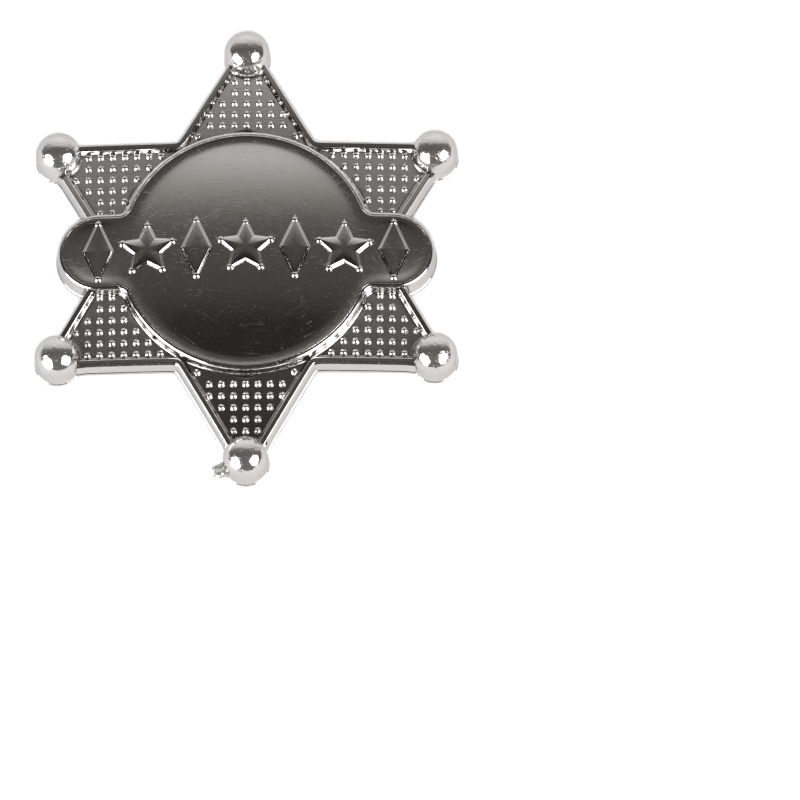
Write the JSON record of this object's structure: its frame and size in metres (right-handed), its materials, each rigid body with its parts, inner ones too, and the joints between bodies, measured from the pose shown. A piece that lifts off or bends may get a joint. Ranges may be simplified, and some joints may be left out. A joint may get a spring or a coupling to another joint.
{
  "type": "six-pointed star badge",
  "caption": "Plated plastic star badge: ball tips, beaded arms, a domed disc and banner with a raised star-and-lozenge ornament, hollow behind, with a plain bar pin.",
  "frame": {"origin": "centre of the badge in the plane of the ball tips' flat feet, on which it lies face up", "axes": "+Z out of the face; +Y towards the top arm; +X towards the right end of the banner, seen from the front"},
  "size_m": [0.0652, 0.0742, 0.0067],
  "materials": {
    "plated_plastic": "moulded plastic with a bright vapour-plated skin: mirror-like, slightly warm, with faint satin streaks and fine scratches on the disc",
    "pin_steel": "plain bright steel strip and wire"
  },
  "bodies": {
    "root": {"star_shell": "plated_plastic", "bar_pin": "pin_steel"}
  },
  "joints": []
}
